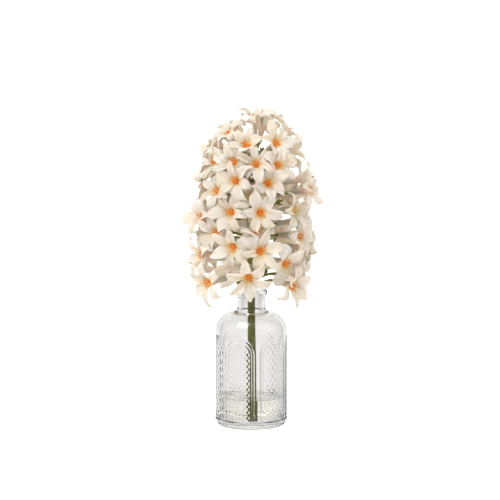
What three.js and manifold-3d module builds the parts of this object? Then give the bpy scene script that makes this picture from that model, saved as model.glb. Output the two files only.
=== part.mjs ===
// A cut hyacinth standing in a pressed-glass bottle vase with a little water.
// Units are millimetres, +Z is up, and the origin is the middle of the vase's foot, where it stands.
// The front faces -Y. A turn, round the vase or round the flower's stem, is in degrees from -Y towards +X.

import * as THREE from "three";
import { mergeVertices } from "three/addons/utils/BufferGeometryUtils.js";
import Module from "manifold-3d";

const wasm = await Module();
wasm.setup();

const { Vector2, Vector3, Quaternion, CatmullRomCurve3 } = THREE;
const { degToRad: rad, radToDeg: deg, lerp, clamp } = THREE.MathUtils;
const UP = new Vector3(0, 0, 1);

// ---- Driving dimensions -------------------------------------------------------------------------

const GAP = 0.3; // between pieces that touch
const LEAST_OVERLAP = 1e-6; // a smaller shared volume, in cubic mm, is rounding

const VASE_HEIGHT = 137;
const BODY_RADIUS = 35.5;
const WALL = 3;
const FLOOR = 5.5; // thickness of the glass under the water
const FOOT_RADIUS = 31.5;
const HEEL = 4; // height of the rounded heel
const BASE_RING = { from: 6, to: 8.2, proud: 1 }; // the raised ring round the bottom of the body
const SHOULDER = { radius: 20, from: 95.3, steps: 4 };
const NECK_RADIUS = 14;
const NECK_BORE = 11;
const LIP = { radius: 16.2, height: 6 };
const VASE_SIDES = 36;
const BORE_SIDES = 24;

const PANELS = 6; // arched panels round the body, with lattice and beads by turns
const FIRST_PANEL = -20; // turn to the middle of the first panel
const PANEL = { foot: 9.6, top: 91.5, half: 16.7, rows: 7, round: 6 };
const RIB_CREST = 0.8; // how far the arches stand out of the glass
const PANEL_LEVELS = [ // from the outer arch inwards: distance in, and height of the relief
  [0, 0],
  [0.9, RIB_CREST],
  [1.8, 0],
  [3.6, 0],
  [4.5, RIB_CREST],
  [5.4, 0],
];
const FILL_LEVELS = 3; // further levels inside the inner arch, where the lattice or the beads stand
const FILL_CREST = 0.7;

const WATER_LEVEL = 29;
const BORE_HEEL = 5; // radius of the round between the inner wall and the floor

const STEM_LINE = [ // from the cut end, against the back of the neck, to the tip
  [1.2, -11, FLOOR + GAP],
  [0.5, -1.5, 70],
  [0, 6.2, 131],
  [1.5, 9, 190],
  [4.5, 10.5, 283],
];
const STEM_RADII = [4.1, 4, 3.8, 3.3, 1.8]; // at the points of the stem's line
const STEM_SIDES = 10;
const STALK_STEPS = 5; // from the cut end to the lowest pedicel
const HEAD_STEPS = 24; // from there to the tip

// Where the throats lie: a cylinder with a domed top.
const HEAD = { low: 144, round: 240, high: 306, radius: 46 };
const NOD = [-12, 6, 72]; // how far florets look up: the lowest, at the foot of the dome, and at the top
const FLORET_SIZES = [1, 0.84]; // of the lowest and the highest floret
const FRONT_FLORETS = [ // turn, height, how far each one looks up, and how much further out it stands
  [58, 143, -8, 0], [-60, 146, -6, 2], [-4, 154, -26, 0], [47, 165, -8, -2],
  [-76, 172, 4, 4], [9, 179, 6, 1], [-25, 183, -8, 0], [71, 191, 0, 0],
  [-52, 196, 5, -2], [5, 198, 34, -6], [-75, 209, 14, 5], [8, 217, 0, 1],
  [-29, 217, 0, -1], [56, 217, 4, 0], [74, 237, 10, 7], [-2, 231, 28, -4],
  [-52, 236, 26, -1], [-24, 248, 10, 0], [17, 246, 8, -1], [-29, 266, 12, 1],
  [-66, 265, 16, 0], [1, 264, 24, -1], [29, 263, 4, 1], [-15, 282, 36, 0],
  [34, 284, 22, 0], [40, 306, 80, 0],
];
const FACING = 0.8; // share of its turn by which a front floret faces aside
const BACK = { count: 25, from: 84, to: 277, top: 282 }; // the florets behind: their turns and highest throat
const GOLDEN = 0.618034; // share of the back from one floret to the next
const CROWN = { count: 4, from: 100, step: 66, height: 294, nod: 50 }; // the florets behind the topmost
const PEDICEL = { drop: 6, radius: 1.5, collar: { out: 1.6, radius: 1.2 }, belowTip: 9, leastLeave: 0.3 };

const TUFTS = [ // turn and height of the green bracts that show between the florets
  [-15, 148], [42, 153], [17, 158], [-10, 170], [31, 187], [-10, 190],
  [-9, 205], [33, 226], [-5, 247], [-12, 254], [9, 277],
];
const TUFT = { reach: 36, radius: 1.1, leaf: 7, splay: 34, rise: 16 };

// One floret, with its axis along +Z and the middle of its throat at the origin.
const RIM = { radius: 4.2, seam: 4.07, thickness: 0.9 };
const BELL = { radius: 3.3, depth: 9 };
const OVARY = { radius: 2.5, depth: 22 };
const CUP = { radius: 2.6, depth: 3 };
const STAMEN = { reach: 2.9, height: 3.2 };
const TEPAL = { length: 26, half: 5, thickness: 1.1, rise: 68, fall: -52 };
const TEPAL_STATIONS = [0.28, 0.5, 0.72, 0.89]; // shares of a tepal's length where its section is drawn
const TIP_SHARE = 0.05; // of the last section, that a tepal keeps at its tip while it is tried

// How a tepal gives way: the share of its length that it keeps, and the degrees its tip lifts and swings.
const SHARES = [1, 0.88, 0.76, 0.62, 0.48, 0.36];
const LIFTS = [0, 22, -22, 44, -44, 66];
const SWINGS = [0, 14, -14, 27, -27];
const SEED = 11;

const COLOURS = {
  glass: { color: 0xe8eeec, roughness: 0.05, metalness: 0, transparent: true, opacity: 0.35 },
  water: { color: 0xdfe6d4, roughness: 0.02, metalness: 0, transparent: true, opacity: 0.4 },
  green: { color: 0x66702a, roughness: 0.55, metalness: 0 },
  petal: { color: 0xf3e9dc, roughness: 0.6, metalness: 0 },
};

// ---- Helpers ------------------------------------------------------------------------------------

// The same share from 0 to 1 each time for the same index.
function drawn(index) {
  const x = Math.sin((index + SEED) * 12.9898) * 43758.5453;
  return x - Math.floor(x);
}

const between = (low, high, index) => lerp(low, high, drawn(index));

// The level direction at a turn.
const outward = (turn) => new Vector3(Math.sin(rad(turn)), -Math.cos(rad(turn)), 0);

// A point at a radius and an angle about +Z, and at a height.
const polar = (radius, angle, z) =>
  new Vector3(radius * Math.cos(rad(angle)), radius * Math.sin(rad(angle)), z);

// A skin is a list of points and a list of three-cornered faces between them.
class Skin {
  points = [];
  faces = [];

  add(point) {
    return this.points.push(point) - 1;
  }

  face(a, b, c) {
    if (a !== b && b !== c && c !== a) this.faces.push([a, b, c]);
  }

  // Closes the space between two rows of points that both run anticlockwise about the way from the first to
  // the second. The rows may differ in length: each step goes to whichever row is behind.
  zip(first, second, closed = true) {
    const rows = [first, second].map((row) => (closed ? [...row, row[0]] : row));
    let [i, j] = [0, 0];
    const [m, n] = rows.map((row) => row.length - 1);
    while (i < m || j < n) {
      if (j === n || (i < m && (i + 0.5) / m <= (j + 0.5) / n)) {
        this.face(rows[0][i], rows[0][i + 1], rows[1][j]);
        i += 1;
      } else {
        this.face(rows[0][i], rows[1][j + 1], rows[1][j]);
        j += 1;
      }
    }
  }

  // Closes a flat ring. It runs anticlockwise as seen from outside.
  cap(ring) {
    for (let i = 1; i + 1 < ring.length; i++) this.face(ring[0], ring[i], ring[i + 1]);
  }

  geometry() {
    return new THREE.BufferGeometry().setFromPoints(this.points).setIndex(this.faces.flat());
  }
}

// A closed skin through rings with as many points each.
function loft(rings) {
  const skin = new Skin();
  const indices = rings.map((ring) => ring.map((point) => skin.add(point)));
  for (let i = 0; i + 1 < indices.length; i++) skin.zip(indices[i], indices[i + 1]);
  skin.cap(indices[0].toReversed());
  skin.cap(indices.at(-1));
  return skin.geometry();
}

// A ring of points round a centre, square to a direction.
function ringAbout(centre, direction, radius, sides) {
  const turn = new Quaternion().setFromUnitVectors(UP, direction.clone().normalize());
  return Array.from({ length: sides }, (_, i) =>
    polar(radius, (360 * i) / sides, 0).applyQuaternion(turn).add(centre));
}

// A geometry as a manifold-3d solid, in the frame that the matrix gives.
function solidOf(geometry, matrix = new THREE.Matrix4()) {
  const bare = new THREE.BufferGeometry();
  bare.setAttribute("position", geometry.getAttribute("position").clone()).setIndex(geometry.index);
  const merged = mergeVertices(bare.applyMatrix4(matrix), 1e-4);
  return new wasm.Manifold(new wasm.Mesh({
    numProp: 3,
    vertProperties: new Float32Array(merged.attributes.position.array),
    triVerts: new Uint32Array(merged.index.array),
  }));
}

function geometryOf(solid) {
  const mesh = solid.getMesh();
  const geometry = new THREE.BufferGeometry();
  geometry.setAttribute("position", new THREE.BufferAttribute(mesh.vertProperties, 3));
  return geometry.setIndex(new THREE.BufferAttribute(mesh.triVerts, 1));
}

// A solid turned from a profile of radius and height, from the axis at the bottom to the axis at the top.
function turned(profile, sides) {
  const lathe = new THREE.LatheGeometry(profile.map(([r, z]) => new Vector2(r, z)), sides);
  return solidOf(lathe.rotateX(Math.PI / 2));
}

// Points along an arc in a profile, from one angle above the horizontal to another.
function arc([r, z], radius, from, to, steps) {
  return Array.from({ length: steps + 1 }, (_, i) => {
    const a = rad(lerp(from, to, i / steps));
    return [r + radius * Math.cos(a), z + radius * Math.sin(a)];
  });
}

function boxed(owner, solid) {
  const { min, max } = solid.boundingBox();
  return { owner, solid, box: new THREE.Box3(new Vector3(...min), new Vector3(...max)) };
}

const overlaps = (a, b) =>
  a.box.intersectsBox(b.box) && a.solid.intersect(b.solid).volume() > LEAST_OVERLAP;

function piece(name, geometry, look) {
  const mesh = new THREE.Mesh(geometry, new THREE.MeshStandardMaterial({ ...look, flatShading: true }));
  mesh.name = name;
  return mesh;
}

// ---- The vase -----------------------------------------------------------------------------------

const shoulderCentre = [BODY_RADIUS - SHOULDER.radius, SHOULDER.from];
const boreRadius = BODY_RADIUS - WALL;
const lipFoot = VASE_HEIGHT - LIP.height;
const lipRound = 2;

const profileBelow = [
  [FOOT_RADIUS, 0],
  [BODY_RADIUS - 1, HEEL - 1.6],
  [BODY_RADIUS, HEEL],
  [BODY_RADIUS + BASE_RING.proud, BASE_RING.from],
  [BODY_RADIUS + BASE_RING.proud, BASE_RING.to],
];

const profileAbove = [
  ...arc(shoulderCentre, SHOULDER.radius, 0, 86, SHOULDER.steps),
  [NECK_RADIUS, SHOULDER.from + SHOULDER.radius + 1.5],
  [NECK_RADIUS, lipFoot - 1],
  [LIP.radius, lipFoot + 1],
  ...arc([LIP.radius - lipRound, VASE_HEIGHT - lipRound], lipRound, 0, 80, 1),
];

const boreProfile = [
  [0, FLOOR],
  ...arc([boreRadius - BORE_HEEL, FLOOR + BORE_HEEL], BORE_HEEL, -90, 0, 2),
  ...arc(shoulderCentre, SHOULDER.radius - WALL, 0, 88, 3),
  [NECK_BORE, SHOULDER.from + SHOULDER.radius - WALL + 0.6],
  [NECK_BORE, VASE_HEIGHT - 1.8],
  [NECK_BORE + 1.8, VASE_HEIGHT + 0.5],
  [0, VASE_HEIGHT + 0.5],
];

// The levels of a panel: how far its arch reaches aside, and the relief there. Within the inner arch every
// other point of each level stands out.
function panelLevels() {
  const ribs = PANEL_LEVELS.map(([inset, height]) => ({ half: PANEL.half - inset, height, fills: false }));
  const inner = ribs.at(-1).half;
  const fill = Array.from({ length: FILL_LEVELS }, (_, i) => {
    const half = inner * (1 - (i + 1) / FILL_LEVELS);
    return { half, height: FILL_CREST, fills: true };
  });
  return [...ribs, ...fill];
}

// A point of an arch, from its left foot over the top to its right foot: how far it is aside of the panel's
// middle, and how high.
function archPoint(half, i) {
  const spring = PANEL.top - PANEL.half;
  const past = i - PANEL.rows;
  if (past < 0) return [-half, lerp(PANEL.foot, spring, i / PANEL.rows)];
  if (past > PANEL.round) return [half, lerp(spring, PANEL.foot, (past - PANEL.round) / PANEL.rows)];
  const a = Math.PI * (1 - past / PANEL.round);
  return [half * Math.cos(a), spring + half * Math.sin(a)];
}

// One panel's relief. It returns the points of its outer arch and of its foot, which the rest of the body
// joins.
function addPanel(skin, index) {
  const middle = FIRST_PANEL + (360 / PANELS) * index;
  const lattice = index % 2 === 1;
  const count = 2 * PANEL.rows + PANEL.round;
  const known = new Map();
  const pointAt = (half, i, height) => {
    const [aside, z] = archPoint(half, i);
    const key = `${aside.toFixed(3)} ${z.toFixed(3)}`;
    if (!known.has(key)) {
      const way = outward(middle + deg(aside / BODY_RADIUS));
      known.set(key, skin.add(way.multiplyScalar(BODY_RADIUS + height).setZ(z)));
    }
    return known.get(key);
  };
  const raised = (level, i) => (level + i) % 2 === 0;
  const levels = panelLevels().map(({ half, height, fills }, level) =>
    Array.from({ length: count + 1 }, (_, i) => pointAt(half, i, fills && !raised(level, i) ? 0 : height)));
  for (let level = 0; level + 1 < levels.length; level++) {
    const [outer, inner] = [levels[level], levels[level + 1]];
    for (let i = 0; i < count; i++) {
      const [a, b, c, d] = [outer[i], inner[i], inner[i + 1], outer[i + 1]];
      if (raised(level, i) === lattice) {
        skin.face(a, b, c);
        skin.face(a, c, d);
      } else {
        skin.face(a, b, d);
        skin.face(b, c, d);
      }
    }
  }
  const feet = levels.map((level) => level[0]);
  const farFeet = levels.map((level) => level[count]).toReversed();
  return { arch: levels[0], feet: [...feet, ...farFeet.slice(1)] };
}

function vase() {
  const skin = new Skin();
  const ring = ([radius, z]) => Array.from({ length: VASE_SIDES }, (_, i) =>
    skin.add(outward(FIRST_PANEL + (360 * i) / VASE_SIDES).multiplyScalar(radius).setZ(z)));
  const below = profileBelow.map(ring);
  const above = profileAbove.map(ring);
  skin.cap(below[0].toReversed());
  for (let i = 0; i + 1 < below.length; i++) skin.zip(below[i], below[i + 1]);
  for (let i = 0; i + 1 < above.length; i++) skin.zip(above[i], above[i + 1]);
  skin.cap(above.at(-1));

  const panels = Array.from({ length: PANELS }, (_, index) => addPanel(skin, index));
  const side = VASE_SIDES / PANELS;
  const last = 2 * PANEL.rows + PANEL.round;
  const apex = last / 2;
  panels.forEach(({ arch, feet }, index) => {
    const next = panels[(index + 1) % PANELS];
    const span = (row) => Array.from({ length: side + 1 }, (_, i) => row[(index * side + i) % VASE_SIDES]);
    const halfFeet = feet.slice((feet.length - 1) / 2);
    const nextFeet = next.feet.slice(0, (next.feet.length + 1) / 2);
    skin.zip(span(below.at(-1)), [...halfFeet, ...nextFeet], false);
    for (let i = 0; i < PANEL.rows; i++) {
      skin.face(arch[last - i], next.arch[i], next.arch[i + 1]);
      skin.face(arch[last - i], next.arch[i + 1], arch[last - i - 1]);
    }
    const dip = [...arch.slice(apex, last - PANEL.rows + 1), ...next.arch.slice(PANEL.rows, apex + 1)];
    skin.zip(dip, span(above[0]), false);
  });
  return solidOf(skin.geometry()).subtract(turned(boreProfile, BORE_SIDES));
}

// ---- The stem's line ----------------------------------------------------------------------------

const stemCurve = new CatmullRomCurve3(STEM_LINE.map((p) => new Vector3(...p)));
const stemTip = STEM_LINE.at(-1)[2];

// The share of the stem's line at a height, by halving.
function shareAt(height) {
  let [low, high] = [0, 1];
  for (let i = 0; i < 30; i++) {
    const middle = (low + high) / 2;
    if (stemCurve.getPoint(middle).z < height) low = middle;
    else high = middle;
  }
  return low;
}

const stemAt = (height) => stemCurve.getPoint(shareAt(Math.min(height, stemTip)));

function stemRadius(share) {
  const at = share * (STEM_RADII.length - 1);
  const i = Math.min(Math.floor(at), STEM_RADII.length - 2);
  return lerp(STEM_RADII[i], STEM_RADII[i + 1], at - i);
}

// ---- Where the florets stand --------------------------------------------------------------------

const dome = HEAD.high - HEAD.round;
const domed = (height) => clamp((height - HEAD.round) / dome, 0, 1);
const headRadius = (height) => HEAD.radius * Math.sqrt(1 - domed(height) ** 2);

// A floret's throat, axis, size and roll. The throat stands off the stem by the radius of the head there.
function placed({ turn, facing, height, nod, out }, index) {
  const up = (height - HEAD.low) / (HEAD.high - HEAD.low);
  const spread = headRadius(height) + out;
  const throat = stemAt(height).addScaledVector(outward(turn), spread).setZ(height);
  const axis = outward(facing).multiplyScalar(Math.cos(rad(nod))).setZ(Math.sin(rad(nod)));
  return { index, throat, axis, size: lerp(...FLORET_SIZES, up), roll: 60 * drawn(index + 400) };
}

const frontFlorets = FRONT_FLORETS.map(([turn, height, nod, out]) =>
  ({ turn, facing: turn * FACING, height, nod, out }));

const backFlorets = Array.from({ length: BACK.count }, (_, i) => {
  const height = lerp(HEAD.low, BACK.top, (i + 0.5) / BACK.count) + between(-2, 2, i);
  const turn = lerp(BACK.from, BACK.to, (i * GOLDEN) % 1) + between(-4, 4, i + 100);
  const straight = clamp((height - HEAD.low) / (HEAD.round - HEAD.low), 0, 1);
  const rising = lerp(NOD[0], NOD[1], straight) + (NOD[2] - NOD[1]) * domed(height) ** 2;
  return { turn, facing: turn, height, nod: rising + between(-6, 6, i + 300), out: between(-3, 5, i + 200) };
});

const crownFlorets = Array.from({ length: CROWN.count }, (_, i) => {
  const turn = CROWN.from + CROWN.step * i;
  return { turn, facing: turn, height: CROWN.height + between(-3, 3, i + 50), nod: CROWN.nod, out: 0 };
});

const places = [...frontFlorets, ...backFlorets, ...crownFlorets]
  .sort((a, b) => a.height - b.height)
  .map(placed);

function frameOf({ throat, axis, roll }) {
  const turn = new Quaternion().setFromUnitVectors(UP, axis);
  turn.multiply(new Quaternion().setFromAxisAngle(UP, rad(roll)));
  return new THREE.Matrix4().compose(throat, turn, new Vector3(1, 1, 1));
}

// ---- The stem, with its pedicels and bracts -----------------------------------------------------

const middleOf = (corners) => corners[0].clone().add(corners[1]).add(corners[2]).divideScalar(3);

// A limb is a list of rings, each with its centre, its way and its radius. These are the corners of each ring
// of a three-sided limb that grows out of a face.
function limbCorners(face, rings) {
  const toward = face[0].clone().sub(middleOf(face));
  return rings.map(({ centre, way, radius }) => {
    const first = toward.clone().projectOnPlane(way).setLength(radius);
    return [0, 120, 240].map((turn) => first.clone().applyAxisAngle(way, rad(turn)).add(centre));
  });
}

// Grows a limb out of one face of a skin. The face moves out to the limb's end.
function grow(skin, faceIndex, rings) {
  let ring = skin.faces[faceIndex];
  for (const corners of limbCorners(ring.map((i) => skin.points[i]), rings)) {
    const further = corners.map((corner) => skin.add(corner));
    skin.zip(ring, further);
    ring = further;
  }
  skin.faces[faceIndex] = ring;
}

const collarOn = ({ heart, normal }) => ({
  centre: heart.clone().addScaledVector(normal, PEDICEL.collar.out),
  way: normal,
  radius: PEDICEL.collar.radius,
});

const footOf = ({ throat, axis, size }) =>
  throat.clone().addScaledVector(axis, -(OVARY.depth * size + GAP));

// The stalk that carries a floret: square out of the stem and up to the floret's foot, which it meets square.
function pedicelRings(place, { heart, normal }) {
  const radius = PEDICEL.radius * place.size;
  return [
    collarOn({ heart, normal }),
    { centre: footOf(place), way: place.axis, radius },
  ];
}

// A tuft of bracts: a twig from the stem, and where it ends.
function twigRings([turn, height], { heart, normal }) {
  const reach = TUFT.reach * (headRadius(height) / HEAD.radius);
  const end = stemAt(height).addScaledVector(outward(turn), reach).setZ(height);
  const way = end.clone().sub(heart).normalize();
  return [
    collarOn({ heart, normal }),
    { centre: end, way, radius: TUFT.radius },
  ];
}

// The three narrow leaves that a twig ends in, in place of its end face.
function addLeaves(skin, faceIndex, { centre, way, radius }) {
  const ring = skin.faces[faceIndex];
  const middle = skin.add(centre.clone().addScaledVector(way, radius));
  skin.faces[faceIndex] = [];
  ring.forEach((a, i) => {
    const b = ring[(i + 1) % 3];
    const aside = skin.points[a].clone().add(skin.points[b]).multiplyScalar(0.5).sub(centre).normalize();
    const [along, out] = [Math.cos(rad(TUFT.splay)), Math.sin(rad(TUFT.splay))];
    const leaf = way.clone().multiplyScalar(along).addScaledVector(aside, out);
    const tip = skin.add(centre.clone().addScaledVector(leaf, TUFT.leaf));
    skin.face(a, b, tip);
    skin.face(b, middle, tip);
    skin.face(middle, a, tip);
  });
}

// The stem without its limbs.
function stalkSkin() {
  const skin = new Skin();
  const stalkTop = HEAD.low - PEDICEL.drop * 3;
  const heights = [
    ...Array.from({ length: STALK_STEPS }, (_, i) => lerp(STEM_LINE[0][2], stalkTop, i / STALK_STEPS)),
    ...Array.from({ length: HEAD_STEPS + 1 }, (_, i) => lerp(stalkTop, stemTip, i / HEAD_STEPS)),
  ];
  const rings = heights.map((height, i) => {
    const share = shareAt(height);
    const way = i ? stemCurve.getTangent(share) : UP; // the foot is cut level
    return ringAbout(stemCurve.getPoint(share), way, stemRadius(share), STEM_SIDES).map((p) => skin.add(p));
  });
  for (let i = 0; i + 1 < rings.length; i++) skin.zip(rings[i], rings[i + 1]);
  skin.cap(rings[0].toReversed());
  const crown = skin.add(stemCurve.getPoint(1).addScaledVector(stemCurve.getTangent(1), STEM_RADII.at(-1)));
  rings.at(-1).forEach((a, i) => skin.face(a, rings.at(-1)[(i + 1) % STEM_SIDES], crown));
  return skin;
}

// The stalk with a pedicel for each floret and the tufts of bracts. Each limb grows out of the nearest face
// of the stalk from which it crosses no other limb.
function flowerStem() {
  const skin = stalkSkin();
  const roots = skin.faces.map((face, index) => {
    const corners = face.map((i) => skin.points[i]);
    const [a, b, c] = corners;
    const normal = b.clone().sub(a).cross(c.clone().sub(a)).normalize();
    return { index, corners, heart: middleOf(corners), normal };
  });
  const grown = [boxed("stalk", solidOf(skin.geometry()))];
  const used = new Set();
  const settle = (turn, height, ringsFrom, bodyOf) => {
    const target = stemAt(height).addScaledVector(outward(turn), stemRadius(shareAt(height)));
    const order = roots.toSorted((p, q) => p.heart.distanceTo(target) - q.heart.distanceTo(target));
    const root = order.find((tried) => {
      const way = ringsFrom(tried).at(-1).centre.clone().sub(tried.heart).normalize();
      if (used.has(tried.index) || way.dot(tried.normal) < PEDICEL.leastLeave) return false;
      const corners = limbCorners(tried.corners, bodyOf(ringsFrom(tried)));
      const body = boxed("limb", solidOf(loft([tried.corners, ...corners])));
      if (grown.some((other) => overlaps(body, other))) return false;
      grown.push(body);
      return true;
    });
    used.add(root.index);
    return { rings: ringsFrom(root), index: root.index };
  };
  for (const place of places) {
    const foot = footOf(place);
    const level = Math.min(foot.z - PEDICEL.drop, stemTip - PEDICEL.belowTip);
    const core = stemAt(level);
    const turn = deg(Math.atan2(foot.x - core.x, core.y - foot.y));
    const { rings, index } = settle(turn, level, (root) => pedicelRings(place, root), (rings) => rings);
    grow(skin, index, rings);
  }
  const spread = TUFT.leaf * Math.sin(rad(TUFT.splay)); // of the leaves, round the end of their twig
  for (const tuft of TUFTS) {
    const withLeaves = (rings) => {
      const { centre, way } = rings.at(-1);
      return [...rings, { centre: centre.clone().addScaledVector(way, TUFT.leaf), way, radius: spread }];
    };
    const [turn, height] = tuft;
    const { rings, index } = settle(turn, height - TUFT.rise, (root) => twigRings(tuft, root), withLeaves);
    grow(skin, index, rings);
    addLeaves(skin, index, rings.at(-1));
  }
  return skin.geometry();
}

// ---- The florets --------------------------------------------------------------------------------

// The shape that one tepal would take with room to spare. Every other tepal is of the inner, narrower three.
function tepalOf({ index, size }, k) {
  const at = 1000 + index * 6 + k;
  const inner = k % 2;
  return {
    length: TEPAL.length * size * between(0.92, 1.06, at) * (inner ? 0.96 : 1),
    half: TEPAL.half * size * (inner ? 0.92 : 1.04),
    rise: TEPAL.rise + between(-8, 8, at + 600) + (inner ? 6 : 0),
    fall: TEPAL.fall + between(-26, 24, at + 1200) + (inner ? 12 : 0),
    swing: between(-7, 7, at + 1800),
    twist: between(-14, 14, at + 2400),
  };
}

const bent = (tepal, { share, lift, swing }) => ({
  ...tepal,
  length: tepal.length * share,
  fall: tepal.fall + lift,
  swing: tepal.swing + swing,
});

// A tepal's half width, as a share of its widest: narrow at the root, widest in the middle, and pointed.
const widthAt = (t) => Math.max(Math.sin(Math.PI * (0.02 + 0.98 * t)), 0) ** 0.8;

// The middle of a tepal at a share of its length, with the side it spreads to and the way it faces. Its line
// is an arc that climbs out of the throat and falls back.
function tepalLine(k, size, tepal, t) {
  const turn = rad(tepal.rise - tepal.fall);
  const start = rad(tepal.rise);
  const slope = rad(lerp(tepal.rise, tepal.fall, t));
  const reach = RIM.radius * size + (tepal.length * (Math.sin(start) - Math.sin(slope))) / turn;
  const climb = (tepal.length * (Math.cos(slope) - Math.cos(start))) / turn;
  const angle = rad(60 * k + tepal.swing * t * t);
  const spoke = new Vector3(Math.cos(angle), Math.sin(angle), 0);
  const way = spoke.clone().multiplyScalar(Math.cos(slope)).setZ(Math.sin(slope));
  const side = new Vector3(-spoke.y, spoke.x, 0).applyAxisAngle(way, rad(tepal.twist * t));
  return { middle: spoke.multiplyScalar(reach).setZ(climb), side, face: way.cross(side) };
}

// A tepal's three-cornered section: leading edge, trailing edge and the rib along its back.
function tepalSection(k, size, tepal, t, grown = 0) {
  const { middle, side, face } = tepalLine(k, size, tepal, t);
  const share = widthAt(t);
  const half = tepal.half * share + grown * 2;
  const thick = TEPAL.thickness * lerp(0.6, 1, share);
  const at = (across, out) => middle.clone().addScaledVector(side, across).addScaledVector(face, out);
  return [at(half, thick / 2 + grown), at(-half, thick / 2 + grown), at(0, -thick / 2 - grown * 1.2)];
}

const tepalTip = (k, size, tepal) => tepalLine(k, size, tepal, 1).middle;

// Where a tepal springs from the rim, in the order of its section's corners.
const seamPoint = (k, size) => polar(RIM.seam * size, 60 * k - 30, 0);
const backPoint = (k, size) => polar((RIM.radius + RIM.thickness / 2) * size, 60 * k, -RIM.thickness);
const tepalRoot = (k, size) => [seamPoint(k + 1, size), seamPoint(k, size), backPoint(k, size)];

// A tepal by itself, thickened all round, to try whether it lies clear, with or without its root.
function tepalTrial(k, size, tepal, { grown = 0, rooted = true }) {
  const rings = TEPAL_STATIONS.map((t) => tepalSection(k, size, tepal, t, grown));
  const tip = tepalTip(k, size, tepal);
  rings.push(rings.at(-1).map((corner) => tip.clone().lerp(corner, TIP_SHARE)));
  return loft(rooted ? [tepalRoot(k, size), ...rings] : rings);
}

// One floret's closed skin: six tepals, the bell and ovary below them, and the cup with its six stamens.
function floretGeometry(size, tepals) {
  const skin = new Skin();
  const six = (make) => Array.from({ length: 6 }, (_, k) => skin.add(make(k)));
  const next = (k) => (k + 1) % 6;

  const seam = six((k) => seamPoint(k, size));
  const back = six((k) => backPoint(k, size));
  tepals.forEach((tepal, k) => {
    let ring = [seam[next(k)], seam[k], back[k]];
    for (const t of TEPAL_STATIONS) {
      const further = tepalSection(k, size, tepal, t).map((point) => skin.add(point));
      skin.zip(ring, further);
      ring = further;
    }
    const tip = skin.add(tepalTip(k, size, tepal));
    ring.forEach((a, i) => skin.face(a, ring[(i + 1) % 3], tip));
  });

  const bell = six((k) => polar(BELL.radius * size, 60 * k, -BELL.depth * size));
  const foot = six((k) => polar(OVARY.radius * size, 60 * k, -OVARY.depth * size));
  const floor = six((k) => polar(CUP.radius * size, 60 * k, -CUP.depth * size));
  const middle = skin.add(new Vector3(0, 0, -CUP.depth * size));
  const anthers = six((k) => polar(STAMEN.reach * size, 60 * k + 30, STAMEN.height * size));
  skin.zip(foot, bell);
  skin.cap(foot.toReversed());
  for (let k = 0; k < 6; k++) {
    const n = next(k);
    skin.face(bell[k], bell[n], seam[n]);
    skin.face(bell[k], seam[n], back[k]);
    skin.face(bell[n], back[n], seam[n]);
    skin.face(floor[k], seam[k], seam[n]);
    skin.face(floor[k], seam[n], floor[n]);
    skin.face(floor[k], floor[n], anthers[k]);
    skin.face(floor[n], middle, anthers[k]);
    skin.face(middle, floor[k], anthers[k]);
  }
  return skin.geometry();
}

// A floret's bell and ovary, a little proud, which its neighbours keep clear of.
function coreGeometry(size) {
  const profile = [[OVARY.radius, -OVARY.depth], [BELL.radius, -BELL.depth], [RIM.radius + RIM.thickness, 0]];
  return loft(profile.map(([radius, z]) =>
    Array.from({ length: 6 }, (_, k) => polar((radius + GAP) * size, 60 * k, z * size))));
}

// Every floret's six tepals, laid one by one from the lowest floret up. One that would touch what is already
// there gives way by the first bend that clears it.
function settledTepals(fixed) {
  const bends = SHARES.flatMap((share) =>
    LIFTS.flatMap((lift) => SWINGS.map((swing) => ({ share, lift, swing }))));
  const cores = places.map((place) => boxed(place.index, solidOf(coreGeometry(place.size), frameOf(place))));
  const laid = [...fixed];
  return places.map((place) => {
    const frame = frameOf(place);
    const made = (k, tepal, options) =>
      boxed(place.index, solidOf(tepalTrial(k, place.size, tepal, options), frame));
    const others = [...laid, ...cores.filter(({ owner }) => owner !== place.index)];
    const sisters = [];
    return Array.from({ length: 6 }, (_, k) => {
      const free = tepalOf(place, k);
      const clear = (tepal) => {
        const blade = made(k, tepal, { grown: GAP, rooted: false });
        if (others.some((other) => overlaps(blade, other))) return false;
        const whole = made(k, tepal, {});
        return ![...sisters, ...others].some((other) => overlaps(whole, other));
      };
      const bend = bends.find((tried) => clear(bent(free, tried)));
      if (!bend) throw new Error(`tepal ${k} of floret ${place.index} finds no room`);
      const tepal = bent(free, bend);
      const settled = made(k, tepal, {});
      sisters.push(settled);
      laid.push(settled);
      return tepal;
    });
  });
}

// ---- The water ----------------------------------------------------------------------------------

function water() {
  const radius = boreRadius - GAP;
  const low = FLOOR + GAP;
  const body = turned([
    [0, low],
    ...arc([radius - BORE_HEEL, low + BORE_HEEL], BORE_HEEL, -90, 0, 2),
    [radius, WATER_LEVEL],
    [0, WATER_LEVEL],
  ], BORE_SIDES);
  const reach = 4; // past the water's floor and level
  const hole = [low - reach, low + GAP, WATER_LEVEL + reach].map((height) => {
    const share = shareAt(height);
    const centre = stemCurve.getPoint(share).setZ(height);
    return ringAbout(centre, UP, stemRadius(share) + 2 * GAP, STEM_SIDES);
  });
  return body.subtract(solidOf(loft(hole)));
}

// ---- The whole ----------------------------------------------------------------------------------

const vaseSolid = vase();
const stemGeometry = flowerStem();
const settled = settledTepals([boxed("vase", vaseSolid), boxed("stem", solidOf(stemGeometry))]);

const hyacinth = new THREE.Group();
hyacinth.add(
  piece("vase", geometryOf(vaseSolid), COLOURS.glass),
  piece("water", geometryOf(water()), COLOURS.water),
  piece("stem", stemGeometry, COLOURS.green),
);
places.forEach((place, i) => {
  const name = `floret_${String(i + 1).padStart(2, "0")}`;
  const floret = piece(name, floretGeometry(place.size, settled[i]), COLOURS.petal);
  floret.applyMatrix4(frameOf(place));
  hyacinth.add(floret);
});

export default hyacinth;
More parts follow.
